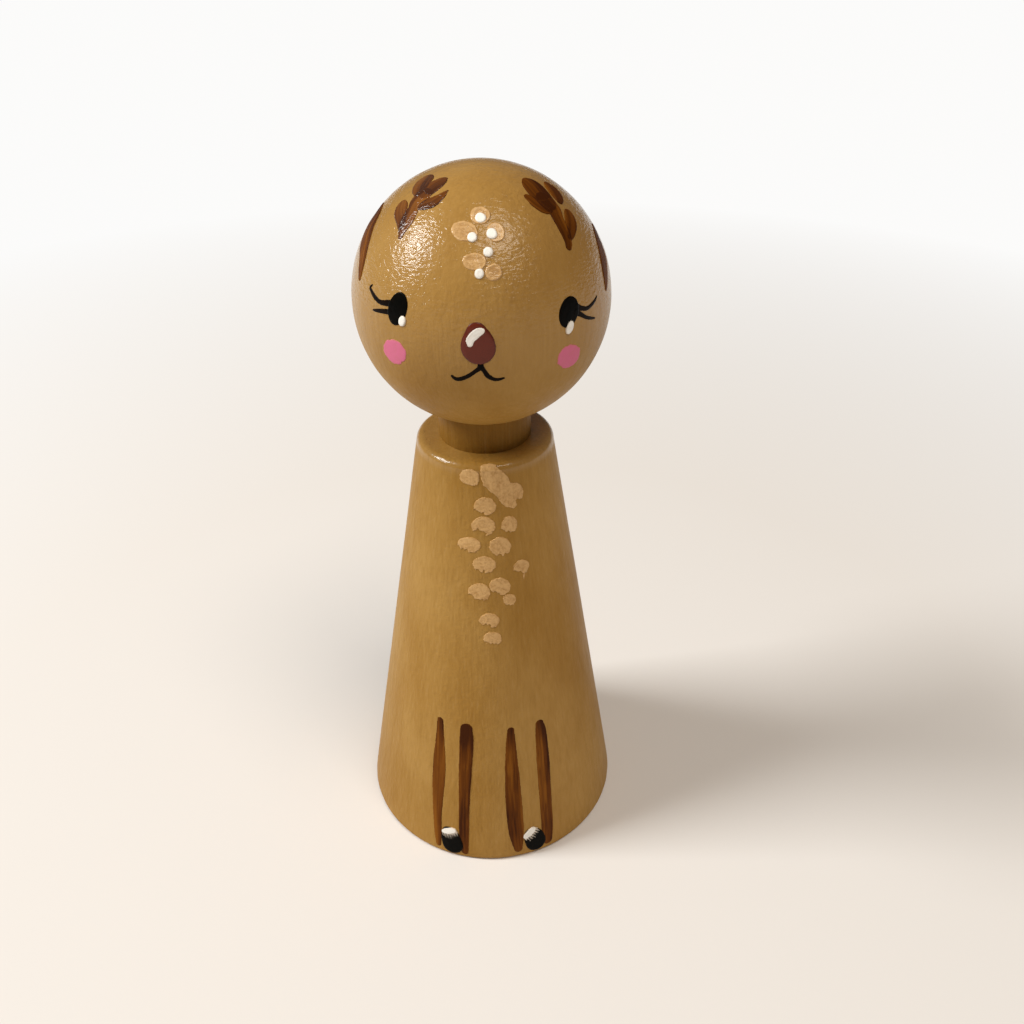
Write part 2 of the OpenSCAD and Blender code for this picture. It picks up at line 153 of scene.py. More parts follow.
# Materials
class Graph:
    """A node material in the making, with short calls for the nodes it needs."""

    def __init__(self, name):
        self.material = bpy.data.materials.new(name)
        self.material.use_nodes = True
        self.nodes = self.material.node_tree.nodes
        self.links = self.material.node_tree.links
        self.bsdf = self.nodes["Principled BSDF"]

    def set(self, **values):
        for name, value in values.items():
            self.bsdf.inputs[name.replace("_", " ")].default_value = value

    def plug(self, value, socket):
        """Links a node's output to the socket, or sets the socket to a plain value."""
        if isinstance(value, bpy.types.NodeSocket):
            self.links.new(value, socket)
        else:
            socket.default_value = value

    def place(self, stretch=(1, 1, 1)):
        """The surface's place in millimetres, stretched by one factor for each axis."""
        coord = self.nodes.new("ShaderNodeTexCoord")
        mapping = self.nodes.new("ShaderNodeMapping")
        mapping.inputs["Scale"].default_value = [s / MM for s in stretch]
        self.links.new(coord.outputs["Object"], mapping.inputs["Vector"])
        return mapping.outputs["Vector"]

    def height(self):
        """The surface's height above the floor in millimetres, on a piece whose own origin is the doll's."""
        apart = self.nodes.new("ShaderNodeSeparateXYZ")
        self.links.new(self.place(), apart.inputs["Vector"])
        return apart.outputs["Z"]

    def seen_rays(self):
        """1 for rays that the camera sees, straight, mirrored or through glass, and 0 for bounced light."""
        path = self.nodes.new("ShaderNodeLightPath")
        seen = self.math("MAXIMUM", path.outputs["Is Camera Ray"], path.outputs["Is Glossy Ray"])
        return self.math("MAXIMUM", seen, path.outputs["Is Transmission Ray"])

    def stored(self, name, output="Fac"):
        """What a mesh holds at each point under a name."""
        node = self.nodes.new("ShaderNodeAttribute")
        node.attribute_name = name
        return node.outputs[output]

    def scaled(self, vector, stretch):
        node = self.nodes.new("ShaderNodeMapping")
        node.inputs["Scale"].default_value = stretch
        self.links.new(vector, node.inputs["Vector"])
        return node.outputs["Vector"]

    def noise(self, vector, scale, detail=3.0, rough=0.5, distort=0.0):
        node = self.nodes.new("ShaderNodeTexNoise")
        self.links.new(vector, node.inputs["Vector"])
        node.inputs["Scale"].default_value = scale
        node.inputs["Detail"].default_value = detail
        node.inputs["Roughness"].default_value = rough
        node.inputs["Distortion"].default_value = distort
        return node.outputs["Fac"]

    def spread(self, value, low, high, to_low=0.0, to_high=1.0):
        """The value with low to high mapped to new ends, and held at them."""
        node = self.nodes.new("ShaderNodeMapRange")
        self.plug(value, node.inputs["Value"])
        node.inputs["From Min"].default_value = low
        node.inputs["From Max"].default_value = high
        node.inputs["To Min"].default_value = to_low
        node.inputs["To Max"].default_value = to_high
        return node.outputs["Result"]

    def math(self, kind, a, b):
        node = self.nodes.new("ShaderNodeMath")
        node.operation = kind
        self.plug(a, node.inputs[0])
        self.plug(b, node.inputs[1])
        return node.outputs["Value"]

    def clamp(self, value):
        return self.math("MINIMUM", self.math("MAXIMUM", value, 0.0), 1.0)

    def mix(self, share, a, b):
        """Colour a where the share is 0 and colour b where it is 1."""
        node = self.nodes.new("ShaderNodeMix")
        node.data_type = "RGBA"
        self.plug(share, node.inputs["Factor"])
        for value, socket in ((a, node.inputs["A"]), (b, node.inputs["B"])):
            colours = [s for s in node.inputs if s.name == socket.name and s.type == "RGBA"]
            self.plug(value, colours[0])
        return [s for s in node.outputs if s.type == "RGBA"][0]

    def bump(self, height, depth, under=None):
        """Turns a height of 0 to 1 into bumps that are depth millimetres deep."""
        node = self.nodes.new("ShaderNodeBump")
        node.inputs["Distance"].default_value = depth * MM
        self.plug(height, node.inputs["Height"])
        if under is not None:
            self.links.new(under, node.inputs["Normal"])
        return node.outputs["Normal"]


def colour(red, green, blue):
    """An sRGB colour of 0 to 255 as the linear colour that a shader takes, by the sRGB standard."""
    def linear(c):
        c /= 255
        return c / 12.92 if c <= 0.04045 else ((c + 0.055) / 1.055) ** 2.4
    return (linear(red), linear(green), linear(blue), 1.0)


# The base coat's tones. The deep one is also the painted shade on the neck and the head
BASE_LIT = colour(174, 133, 70)
BASE_MID = colour(158, 115, 50)
BASE_DEEP = colour(128, 87, 28)
BARE_WOOD = colour(222, 190, 142)
BARE_RING = colour(203, 166, 114)
BARE_PORE = colour(160, 122, 76)
UMBER_THIN = colour(134, 80, 18)
UMBER = colour(100, 52, 4)
UMBER_POOLED = colour(62, 26, 1)
TAN_THIN, TAN_THICK, TAN_SPECKLE = colour(178, 132, 74), colour(206, 162, 104), 0.45
WHITE_EDGE, WHITE = colour(206, 186, 162), colour(244, 238, 230)
BLACK_EDGE, BLACK = colour(30, 15, 6), colour(6, 5, 3)
PINK_EDGE, PINK = colour(190, 116, 92), colour(214, 112, 142)
CHESTNUT_EDGE, CHESTNUT = colour(70, 24, 12), colour(102, 38, 20)

# Varnish: one weight all over, or (height, weight, height, weight) where it changes between two heights
HEAD_VARNISH = (HEAD_Z - 5, 0.12, HEAD_Z + 4, 1.0)
BODY_VARNISH = (SHOULDER_TOP_Z - 0.6, 0.12, SHOULDER_TOP_Z + 0.2, 1.0)
NECK_VARNISH = 0.03
# Depths of the varnish's wrinkles, and of the wood's fibre, the brush's hairs, the dried paint and bare pores
HEAD_WRINKLES, BODY_WRINKLES = 0.11, 0.03
FIBRE_DEEP, HAIR_DEEP, PEEL_DEEP, PORE_DEEP = 0.03, 0.045, 0.07, 0.04
# Depths of the streaks, specks and flow of the marks' paints, and of what still shows through a varnish
STREAK_DEEP, SPECK_DEEP, FLOW_DEEP, COATED_DEEP = 0.02, 0.05, 0.03, 0.03


def lay_varnish(g, under, varnish, wrinkled):
    """A coat of varnish over the bumps under it, with wrinkles of its own."""
    wrinkle = g.noise(g.place((0.9, 0.9, 2.1)), 1.6, 2, 0.6, 0.4)
    g.plug(g.bump(wrinkle, wrinkled, under), g.bsdf.inputs["Coat Normal"])
    if isinstance(varnish, float):
        g.set(Coat_Weight=varnish)
    else:
        low, low_weight, high, high_weight = varnish
        g.plug(g.spread(g.height(), low, high, low_weight, high_weight), g.bsdf.inputs["Coat Weight"])
    g.set(Coat_Roughness=0.19, Coat_IOR=1.4)


def base_coat(name, hair, streaks, fibre_share, varnish, wrinkled, painted_shade=0.0):
    """Acrylic brushed over wood. Its hairs, the brush's marks, are as fine along each axis as hair says."""
    g = Graph(name)
    cloud = g.noise(g.place((1, 1, 0.5)), 0.09, 3)
    hairs = g.noise(g.place(hair), 1.0, 3, 0.55, 0.25)
    fibre = g.noise(g.place((3.4, 3.4, 0.13)), 1.0, 2, 0.5, 0.1)
    peel = g.noise(g.place(), 1.7, 2, 0.5)
    tone = g.mix(g.spread(cloud, 0.35, 0.65), BASE_MID, BASE_LIT)
    tone = g.mix(g.spread(hairs, 0.42, 0.80, 0.0, streaks), tone, BASE_DEEP)
    tone = g.mix(g.spread(fibre, 0.50, 0.72, 0.0, fibre_share), tone, BASE_DEEP)
    tone = g.mix(g.spread(fibre, 0.44, 0.26, 0.0, fibre_share * 0.35), tone, BARE_WOOD)
    # Painted shade: this last mix darkens the whole coat towards the deep tone, standing in for the shade
    # that falls on the piece
    g.plug(g.mix(painted_shade, tone, BASE_DEEP), g.bsdf.inputs["Base Color"])
    g.plug(g.spread(hairs, 0.3, 0.7, 0.44, 0.56), g.bsdf.inputs["Roughness"])
    under = g.bump(fibre, FIBRE_DEEP)
    under = g.bump(hairs, HAIR_DEEP, under)
    g.plug(g.bump(peel, PEEL_DEEP, under), g.bsdf.inputs["Normal"])
    g.set(Specular_IOR_Level=0.05)
    lay_varnish(g, g.bump(hairs, COATED_DEEP), varnish, wrinkled)
    return g.material


def bare_wood(name):
    """Sanded end grain, as on the underside."""
    g = Graph(name)
    rings = g.noise(g.place((0.12, 0.9, 0.5)), 1.0, 2, 0.4, 0.4)
    pores = g.noise(g.place((3.5, 3.5, 0.4)), 1.0, 2)
    tone = g.mix(g.spread(rings, 0.4, 0.65), BARE_WOOD, BARE_RING)
    tone = g.mix(g.spread(pores, 0.62, 0.75, 0.0, 0.5), tone, BARE_PORE)
    g.plug(tone, g.bsdf.inputs["Base Color"])
    g.plug(g.bump(pores, PORE_DEEP), g.bsdf.inputs["Normal"])
    g.set(Roughness=0.7, Specular_IOR_Level=0.3)
    return g.material


def streaked_paint(name, varnished=False):
    """Thinned umber pulled along a stroke, dark where it pooled, as at its start and along its edge."""
    g = Graph(name)
    along = g.stored("stroke", "Vector")
    hairs = g.noise(g.scaled(along, (0.06, 3.6, 3.7)), 1.0, 2, 0.5, 0.1)
    pools = g.noise(g.scaled(along, (0.05, 0.5, 5.1)), 1.0, 1, 0.5)
    edge = g.spread(g.stored("film"), 0.98, 0.55)
    apart = g.nodes.new("ShaderNodeSeparateXYZ")
    g.links.new(along, apart.inputs["Vector"])
    start = g.spread(apart.outputs["X"], 0.0, 4.0, 0.32, 0.0)
    share = g.math("ADD", g.spread(hairs, 0.36, 0.64, -0.16, 0.16), g.spread(pools, 0.36, 0.64, 0.1, 0.8))
    overlap = g.spread(g.stored("film"), 1.05, 1.35, 0.0, 0.45)
    for darker in (start, overlap, g.math("MULTIPLY", edge, 0.35)):
        share = g.math("ADD", share, darker)
    tone = g.mix(g.spread(share, 0.0, 0.5), UMBER_THIN, UMBER)
    tone = g.mix(g.spread(share, 0.5, 1.0), tone, UMBER_POOLED)
    g.plug(tone, g.bsdf.inputs["Base Color"])
    g.plug(g.bump(hairs, STREAK_DEEP), g.bsdf.inputs["Normal"])
    g.set(Roughness=0.55, Specular_IOR_Level=0.05, Coat_Weight=0.03, Coat_Roughness=0.2)
    if varnished:
        lay_varnish(g, g.bump(hairs, STREAK_DEEP), HEAD_VARNISH, HEAD_WRINKLES)
    return g.material


def dabbed_paint(name, thin, thick, speckle, varnished=False):
    """Pale paint dabbed on with a dry brush: the base shows through in specks, and the wet rim is fullest."""
    g = Graph(name)
    along = g.stored("stroke", "Vector")
    specks = g.noise(g.place(), 3.2, 3, 0.6, 0.3)
    sweep = g.noise(g.scaled(along, (0.7, 1.6, 1.0)), 1.0, 2)
    full = g.spread(g.stored("film"), 0.55, 1.15)
    share = g.math("ADD", full, g.spread(specks, 0.35, 0.65, -speckle, speckle))
    share = g.math("ADD", share, g.spread(sweep, 0.35, 0.65, -0.25, 0.25))
    g.plug(g.mix(g.clamp(share), thin, thick), g.bsdf.inputs["Base Color"])
    g.plug(g.bump(specks, SPECK_DEEP), g.bsdf.inputs["Normal"])
    g.set(Roughness=0.5, Specular_IOR_Level=0.3, Coat_Weight=0.1, Coat_Roughness=0.25)
    if varnished:
        lay_varnish(g, g.bump(specks, COATED_DEEP), HEAD_VARNISH, HEAD_WRINKLES)
    return g.material


def full_paint(name, edge_tone, tone, rough, shine):
    """Opaque paint laid in one touch, a little darker or thinner in its rounded edge."""
    g = Graph(name)
    flow = g.noise(g.place(), 1.6, 2, 0.5)
    share = g.math("ADD", g.spread(g.stored("film"), 0.25, 0.85), g.spread(flow, 0.35, 0.65, -0.12, 0.12))
    g.plug(g.mix(g.clamp(share), edge_tone, tone), g.bsdf.inputs["Base Color"])
    g.plug(g.bump(flow, FLOW_DEEP), g.bsdf.inputs["Normal"])
    g.set(Roughness=rough, Specular_IOR_Level=shine)
    return g.material


def make_materials():
    """Every material by its name, from its maker and what that takes."""
    tan = TAN_THIN, TAN_THICK, TAN_SPECKLE
    kinds = {
        # Woods take hair, streaks, fibre share, varnish, wrinkles and a share of painted shade: the neck's is
        # painted shade for the head's shadow on it, and the head's is a light painted shade over the whole
        # ball
        "painted_wood": (base_coat, (1.4, 1.4, 0.06), 0.20, 0.16, BODY_VARNISH, BODY_WRINKLES),
        "neck_wood": (base_coat, (2.6, 2.6, 0.10), 0.30, 0.60, NECK_VARNISH, BODY_WRINKLES, 0.75),
        "head_wood": (base_coat, (1.2, 1.2, 0.16), 0.13, 0.10, HEAD_VARNISH, HEAD_WRINKLES, 0.12),
        "bare_wood": (bare_wood,),
        "brown_paint": (streaked_paint,),
        "varnished_brown": (streaked_paint, True),
        "tan_paint": (dabbed_paint, *tan),
        "varnished_tan": (dabbed_paint, *tan, True),
        "white_paint": (full_paint, WHITE_EDGE, WHITE, 0.35, 0.3),
        "black_paint": (full_paint, BLACK_EDGE, BLACK, 0.36, 0.04),
        "pink_paint": (full_paint, PINK_EDGE, PINK, 0.5, 0.1),
        "nose_paint": (full_paint, CHESTNUT_EDGE, CHESTNUT, 0.32, 0.25)}
    return {name: make(name, *values) for name, (make, *values) in kinds.items()}


# Noise for shapes
class Lattice:
    """Smooth seeded noise of -1 to 1 over a plane, repeating every SIDE units."""
    SIDE = 64

    def __init__(self, seed):
        self.table = np.random.default_rng(seed).uniform(-1, 1, (self.SIDE, self.SIDE))

    def __call__(self, x, y):
        x0, y0 = np.floor(x).astype(int), np.floor(y).astype(int)
        u, v = x - x0, y - y0
        u, v = u * u * (3 - 2 * u), v * v * (3 - 2 * v)
        n = self.SIDE
        t = self.table
        low = t[x0 % n, y0 % n] * (1 - u) + t[(x0 + 1) % n, y0 % n] * u
        high = t[x0 % n, (y0 + 1) % n] * (1 - u) + t[(x0 + 1) % n, (y0 + 1) % n] * u
        return low * (1 - v) + high * v


EDGE_NOISE, RIDGE_NOISE, TURNING_NOISE = Lattice(11), Lattice(23), Lattice(37)

# Dents that sanding and paint leave: their depths, and the waves of noise in half a turn of head and cone
TURNING_DEPTH, NECK_DEPTH = 0.035, 0.03
HEAD_WAVES, CONE_WAVES = 20, 32
# Waves in a radian of the neck, in the head's radius of height, and in a millimetre up the cone and the neck
NECK_WAVES, HEAD_RISE_WAVES, CONE_RISE_WAVES, NECK_RISE_WAVES = 10, 9, 0.11, 0.1
# Where in the noise the dents begin, and how soon they fade away from the head's pole
TURN_START, RISE_START, POLE_FADE = 8, 20, 3


def dent(depth, wave):
    """A height from -depth to 0, for a wave of 1 to -1."""
    return -depth * (0.5 + 0.5 * wave)


def head_dent(direction):
    """How far the ball lies below its true sphere, with waves that fade out towards its top."""
    turn = np.arctan2(direction[..., 0], -direction[..., 1])
    around, up = TURN_START + turn * HEAD_WAVES / math.pi, RISE_START + direction[..., 2] * HEAD_RISE_WAVES
    from_pole = 1 - direction[..., 2] ** 2
    return dent(TURNING_DEPTH, TURNING_NOISE(around, up) * np.clip(from_pole * POLE_FADE, 0, 1))


def cone_dent(turn, z):
    wave = TURNING_NOISE(TURN_START + turn * CONE_WAVES / math.pi, z * CONE_RISE_WAVES)
    return dent(TURNING_DEPTH, wave)


def neck_dent(turn, z):
    return dent(NECK_DEPTH, TURNING_NOISE(turn * NECK_WAVES, z * NECK_RISE_WAVES))


# Surfaces that carry paint. A chart maps places on one to flat millimetres, and those to points in space
def head_direction(turn, rise):
    """The way out of the head's middle, from a turn towards +X and a rise, both in degrees."""
    t, r = np.radians(turn), np.radians(rise)
    return np.stack([np.sin(t) * np.cos(r), -np.cos(t) * np.cos(r), np.sin(r)], axis=-1)


class HeadChart:
    """Flat chart round a [turn, rise] of the head, true to distance from its middle."""

    def __init__(self, middle):
        self.out = head_direction(*middle)
        self.right = np.array([math.cos(math.radians(middle[0])), math.sin(math.radians(middle[0])), 0.0])
        self.up = np.cross(self.out, self.right)
        self.up *= np.sign(self.up[2]) or 1.0

    def flat(self, places):
        d = head_direction(*np.asarray(places, float)[:, :2].T)
        x, y, z = d @ self.right, d @ self.up, np.clip(d @ self.out, -1, 1)
        reach = np.hypot(x, y)
        scale = np.where(reach > 1e-9, np.arccos(z) / np.maximum(reach, 1e-9), 1.0) * HEAD_R
        return np.stack([x * scale, y * scale], axis=-1)

    def solid(self, uv, height):
        angle = np.hypot(uv[:, 0], uv[:, 1]) / HEAD_R
        scale = np.sinc(angle / math.pi) / HEAD_R
        d = (uv[:, 0] * scale)[:, None] * self.right + (uv[:, 1] * scale)[:, None] * self.up
        d = d + np.cos(angle)[:, None] * self.out
        return np.array([0, 0, HEAD_Z]) + d * (HEAD_R + head_dent(d) + height)[:, None]


def side_r(z):
    """The cone's radius at a height."""
    return FOOT_R + (SHOULDER_R - FOOT_R) * z / BODY_H


# The middle of the shoulder's rounding, as (radius, height)
SHOULDER_C = (side_r(SHOULDER_TOP_Z) - SHOULDER_ROUND / math.cos(SLOPE), SHOULDER_TOP_Z)


class ConeChart:
    """Flat chart round a [turn, height share] of the cone's side, carried on over the rounded shoulder."""

    def __init__(self, middle):
        self.turn, self.z = middle[0], middle[1] * BODY_H

    def flat(self, places):
        p = np.asarray(places, float)
        z = p[:, 1] * BODY_H
        around = side_r(z) * np.radians(p[:, 0] - self.turn)
        return np.stack([around, (z - self.z) / math.cos(SLOPE)], axis=-1)

    def solid(self, uv, height):
        z = self.z + uv[:, 1] * math.cos(SLOPE)
        turn = math.radians(self.turn) + uv[:, 0] / side_r(z)
        round_z = SHOULDER_C[1] + SHOULDER_ROUND * math.sin(SLOPE)
        over = np.clip((z - round_z) / math.cos(SLOPE) / SHOULDER_ROUND, 0, math.pi / 2 - SLOPE)
        z = np.minimum(z, round_z)
        lift = cone_dent(turn, z) * (over == 0) + height
        tilt = SLOPE + over
        reach = side_r(z) + SHOULDER_ROUND * (np.cos(tilt) - math.cos(SLOPE)) + lift * np.cos(tilt)
        z = z + SHOULDER_ROUND * (np.sin(tilt) - math.sin(SLOPE)) + lift * np.sin(tilt)
        return np.stack([np.sin(turn) * reach, -np.cos(turn) * reach, z], axis=-1)


# Strokes and dabs. Each says how far a point is outside it, and where that lies along and across it
def smooth_path(points, steps=10):
    """A curve through the points, each [x, y, width], with steps pieces between two points."""
    p = np.asarray(points, float)
    p = np.vstack([2 * p[0] - p[1], p, 2 * p[-1] - p[-2]])
    out = []
    for a, b, c, d in zip(p, p[1:], p[2:], p[3:]):
        for t in np.arange(steps) / steps:
            out.append(0.5 * (2 * b + (c - a) * t + (2 * a - 5 * b + 4 * c - d) * t ** 2
                              + (3 * b - a - 3 * c + d) * t ** 3))
    return np.vstack(out + [p[-2]])


class Stroke:
    """One pull of the brush along a path, with a width at each point."""

    def __init__(self, points, thick=1.0):
        self.path = smooth_path(points)
        self.thick = thick

    def corners(self):
        half = self.path[:, 2:3] / 2
        return np.vstack([self.path[:, :2] - half, self.path[:, :2] + half])

    def measure(self, p):
        best = np.full(len(p), np.inf)
        along, across = np.zeros(len(p)), np.zeros(len(p))
        run = 0.0
        for a, b in zip(self.path, self.path[1:]):
            step = b[:2] - a[:2]
            length = max(np.hypot(*step), 1e-9)
            unit = step / length
            rel = p - a[:2]
            t = np.clip(rel @ unit / length, 0, 1)
            side = rel[:, 1] * unit[0] - rel[:, 0] * unit[1]
            d = np.hypot(*(rel - t[:, None] * step).T) - (a[2] + (b[2] - a[2]) * t) / 2
            closer = d < best
            best = np.where(closer, d, best)
            along = np.where(closer, run + t * length, along)
            across = np.where(closer, side, across)
            run += length
        return best, along, across


class Touch:
    """Paint laid without a stroke, round a middle, with the same reach on either side of it."""
    thick = 1.0

    def corners(self):
        return np.stack([self.at - self.reach, self.at + self.reach])


class Blob(Touch):
    """A dab with an oval outline, its long side leaning by lean degrees to the right of upright."""

    def __init__(self, at, long, short, lean=0.0):
        self.at, self.reach, self.short = np.asarray(at, float), long / 2, short / 2
        a = math.radians(lean)
        self.axis = np.array([math.sin(a), math.cos(a)])

    def measure(self, p):
        rel = p - self.at
        y, x = rel @ self.axis, rel @ np.array([self.axis[1], -self.axis[0]])
        k0 = np.hypot(x / self.short, y / self.reach)
        k1 = np.hypot(x / self.short ** 2, y / self.reach ** 2)
        return k0 * (k0 - 1) / np.maximum(k1, 1e-6), y, x


class Dab(Blob):
    """A dab of a dry brush, cut short and ragged at the lower side where its bristles left the wood."""
    # Where the bristles left, how far out as a share of the dab's half width, and how much two noises sway it
    LEAVE = np.array([-0.3, -0.954])
    CUT_SHARE, TOOTH_SHARE, LOBE_SHARE = 0.72, 0.30, 0.25
    # Sizes of these noises, and their starts
    TOOTH, LOBE = (0.24, 0.5), (0.8, 0.8)
    TOOTH_START, LOBE_START = (3, 17), (30, 2)
    # How far the teeth sway the outline, and the share of the half width before the middle where they begin
    SWAY, SWAY_SHARE = 0.12, 0.4

    def measure(self, p):
        d, y, x = super().measure(p)
        away = (p - self.at) @ self.LEAVE
        teeth = RIDGE_NOISE(*(p / self.TOOTH + self.TOOTH_START).T)
        lobes = RIDGE_NOISE(*(p / self.LOBE + self.LOBE_START).T)
        cut = away - self.short * (self.CUT_SHARE + self.TOOTH_SHARE * teeth + self.LOBE_SHARE * lobes)
        ragged = np.clip(away / self.short + self.SWAY_SHARE, 0, 1) * self.SWAY * teeth
        return np.maximum(d + ragged, cut), y, x


class Patch(Touch):
    """Paint dabbed again and again into one mass, inside an outline of points."""

    def __init__(self, outline):
        self.outline = np.asarray(outline, float)
        low, high = self.outline.min(0), self.outline.max(0)
        self.at, self.reach = (low + high) / 2, (high - low) / 2

    def measure(self, p):
        nearest = np.full(len(p), np.inf)
        within = np.zeros(len(p), bool)
        for a, b in zip(self.outline, np.roll(self.outline, -1, axis=0)):
            step = b - a
            t = np.clip((p - a) @ step / (step @ step), 0, 1)
            nearest = np.minimum(nearest, np.hypot(*(p - a - t[:, None] * step).T))
            passed = (a[1] > p[:, 1]) != (b[1] > p[:, 1])
            meets = a[0] + (p[:, 1] - a[1]) / (step[1] or 1.0) * step[0]
            within ^= passed & (p[:, 0] < meets)
        return np.where(within, -nearest, nearest), p[:, 1], p[:, 0]


# Films of paint
@dataclass(frozen=True)
class Finish:
    """How a kind of paint lies on the wood."""
    # Its height, and the width of its rounded edge
    height: float
    edge: float
    # By what share the brush's hairs raise and lower it
    ridge: float = 0.0
    # How far its outline strays, and how long each stray is
    ragged: float = 0.0
    ragged_size: float = 0.5
    # By what share its wet rim stands over its middle
    rim: float = 0.0


# How far below the wood the rim of a film's top and the film's underside lie
SUNK, FLOOR_SUNK = 0.03, 0.10
# Starts of the noises that make an outline stray, and how much finer and weaker the second one is
COARSE_START, FINE_START = (9, 31), (40, 5)
FINE_TIMES, FINE_SHARE = 2.7, 0.6
# Width and length of the ridges that the brush's hairs leave, and where their noise starts
RIDGE_W, RIDGE_L, RIDGE_START = 0.16, 1.6, 7
# Each name and each stroke has a lot of its own, so that no two have the same hairs
LOTS, LOT_STEP = 29, 3.7
# A wet rim's way in and breadth in widths of the rounded edge, and the share of it that the middle lacks
RIM_IN, RIM_WIDE, RIM_TAKEN = 1.1, 0.7, 0.5


def film_field(shapes, finish, p, lot=0.0):
    """At points p: distance out of the outline, height, its share of the finish's, and place in a stroke."""
    cells = p / finish.ragged_size
    coarse = EDGE_NOISE(*(cells + COARSE_START).T)
    fine = EDGE_NOISE(*(cells * FINE_TIMES + FINE_START).T)
    rag = finish.ragged * (coarse + FINE_SHARE * fine)
    outside = np.full(len(p), np.inf)
    total = np.zeros(len(p))
    stroke = np.zeros((len(p), 3))
    for number, shape in enumerate(shapes):
        d, along, across = shape.measure(p)
        d = d + rag
        inward = np.clip(-d / finish.edge, 0, 1)
        dome = np.sqrt(np.clip(1 - (1 - inward) ** 2, 0, 1))
        from_rim = (-d - RIM_IN * finish.edge) / (RIM_WIDE * finish.edge)
        rim = finish.rim * np.exp(-from_rim ** 2) * (d < 0)
        total += (shape.thick * dome * (1 - finish.rim * RIM_TAKEN + rim)) ** 2
        closer = d < outside
        outside = np.where(closer, d, outside)
        mine = np.stack([along, across, np.full(len(p), lot + number * LOT_STEP)], axis=-1)
        stroke = np.where(closer[:, None], mine, stroke)
    share = np.sqrt(total)
    hairs = RIDGE_NOISE(stroke[:, 1] / RIDGE_W + stroke[:, 2], stroke[:, 0] / RIDGE_L + RIDGE_START)
    share = share * (1 + finish.ridge * hairs)
    return outside, finish.height * share, share, stroke


def film_grid(shapes, grid, margin=0.4):
    """The points of a square grid over the shapes, and the four corners of each of its cells."""
    corners = np.vstack([shape.corners() for shape in shapes])
    low, high = corners.min(0) - margin, corners.max(0) + margin
    nx, ny = np.ceil((high - low) / grid).astype(int) + 1
    gx, gy = np.meshgrid(low[0] + np.arange(nx) * grid, low[1] + np.arange(ny) * grid, indexing="ij")
    ids = np.arange(nx * ny).reshape(nx, ny)
    cells = np.stack([ids[:-1, :-1], ids[1:, :-1], ids[1:, 1:], ids[:-1, 1:]], axis=-1)
    return np.stack([gx.ravel(), gy.ravel()], axis=-1), cells.reshape(-1, 4)


def cut_cells(p, outside, cells, nearest=0.02):
    """The cells inside an outline, cut along it: their points, their faces and the points on the outline.

    No cut comes nearer to the end of a cell's side than that share of the side.
    """
    inside = outside < 0
    points, index, cuts = [], {}, {}

    def grid_point(i):
        if i not in index:
            index[i] = len(points)
            points.append(p[i])
        return index[i]

    def cut_point(i, j):
        key = (min(i, j), max(i, j))
        if key not in cuts:
            a, b = key
            t = np.clip(outside[a] / (outside[a] - outside[b]), nearest, 1 - nearest)
            cuts[key] = len(points)
            points.append(p[a] + (p[b] - p[a]) * t)
        return cuts[key]

    faces = []
    for cell in cells[inside[cells].any(axis=1)]:
        ring = []
        for a, b in zip(cell, np.roll(cell, -1)):
            if inside[a]:
                ring.append(grid_point(int(a)))
            if inside[a] != inside[b]:
                ring.append(cut_point(int(a), int(b)))
        # Two opposite corners inside are two separate triangles
        if len(ring) == 6 and inside[cell].sum() == 2:
            first = [k for k in range(4) if inside[cell[k]]][0]
            for k in (first, (first + 2) % 4):
                corner, before, after = (int(cell[i % 4]) for i in (k, k - 1, k + 1))
                cuts_beside = cut_point(corner, before), cut_point(corner, after)
                faces.append([cuts_beside[0], grid_point(corner), cuts_beside[1]])
        else:
            faces.append(ring)
    return np.array(points), faces, np.array(sorted(cuts.values()))


def open_edges(faces):
    """The edges that only one face has, always in the same order."""
    edges = {}
    for face in faces:
        for a, b in zip(face, face[1:] + face[:1]):
            if (b, a) in edges:
                del edges[(b, a)]
            else:
                edges[(a, b)] = None
    return list(edges)


def film(node, chart, shapes, finish, slot, grid=0.07, base=0.0, look=None):
    """A closed film of paint in place of a node, with its shapes' outline, on a chart, base over the wood."""
    name = node + "_paint"
    flat_grid, cells = film_grid(shapes, grid)
    points, faces, rim = cut_cells(flat_grid, film_field(shapes, finish, flat_grid)[0], cells)
    _, height, share, stroke = film_field(shapes, finish, points, sum(map(ord, name)) % LOTS)
    height[rim] = -SUNK - base
    share[rim] = 0.0
    count = len(points)
    top = chart.solid(points, height + base)
    bottom = chart.solid(points, np.full(count, -FLOOR_SUNK))
    walls = [[b, a, a + count, b + count] for a, b in open_edges(faces)]
    underside = [[i + count for i in reversed(face)] for face in faces]
    mesh = bpy.data.meshes.new(name)
    mesh.from_pydata((np.vstack([top, bottom]) * MM).tolist(), [], faces + underside + walls)
    mesh.update()
    mesh.shade_smooth()
    stored = mesh.attributes.new("film", "FLOAT", "POINT")
    stored.data.foreach_set("value", np.concatenate([share, np.zeros(count)]).astype(np.float32))
    stored = mesh.attributes.new("stroke", "FLOAT_VECTOR", "POINT")
    stored.data.foreach_set("vector", np.vstack([stroke, stroke]).astype(np.float32).ravel())
    add_piece(name, mesh, slot, node, look)


def add_piece(name, mesh, slot, node, look=None):
    """A mesh as a piece of the doll in place of a node, with its slot's material or another look."""
    mesh.materials.append(MATERIALS[look or slot])
    piece = bpy.data.objects.new(name, mesh)
    bpy.context.scene.collection.objects.link(piece)
    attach(piece, "root")
    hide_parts(node)


# Turned wood. How many points go round each piece
BODY_TURNS, NECK_TURNS, HEAD_TURNS = 192, 160, 256
# Steps of the body's underside, foot rounding, side, shoulder rounding and top, and of the neck and the head
FOOT_STEPS, FOOT_ROUND_STEPS, SIDE_STEPS, SHOULDER_ROUND_STEPS, TOP_STEPS = 8, 8, 90, 10, 6
NECK_STEPS, HEAD_STEPS = 24, 120
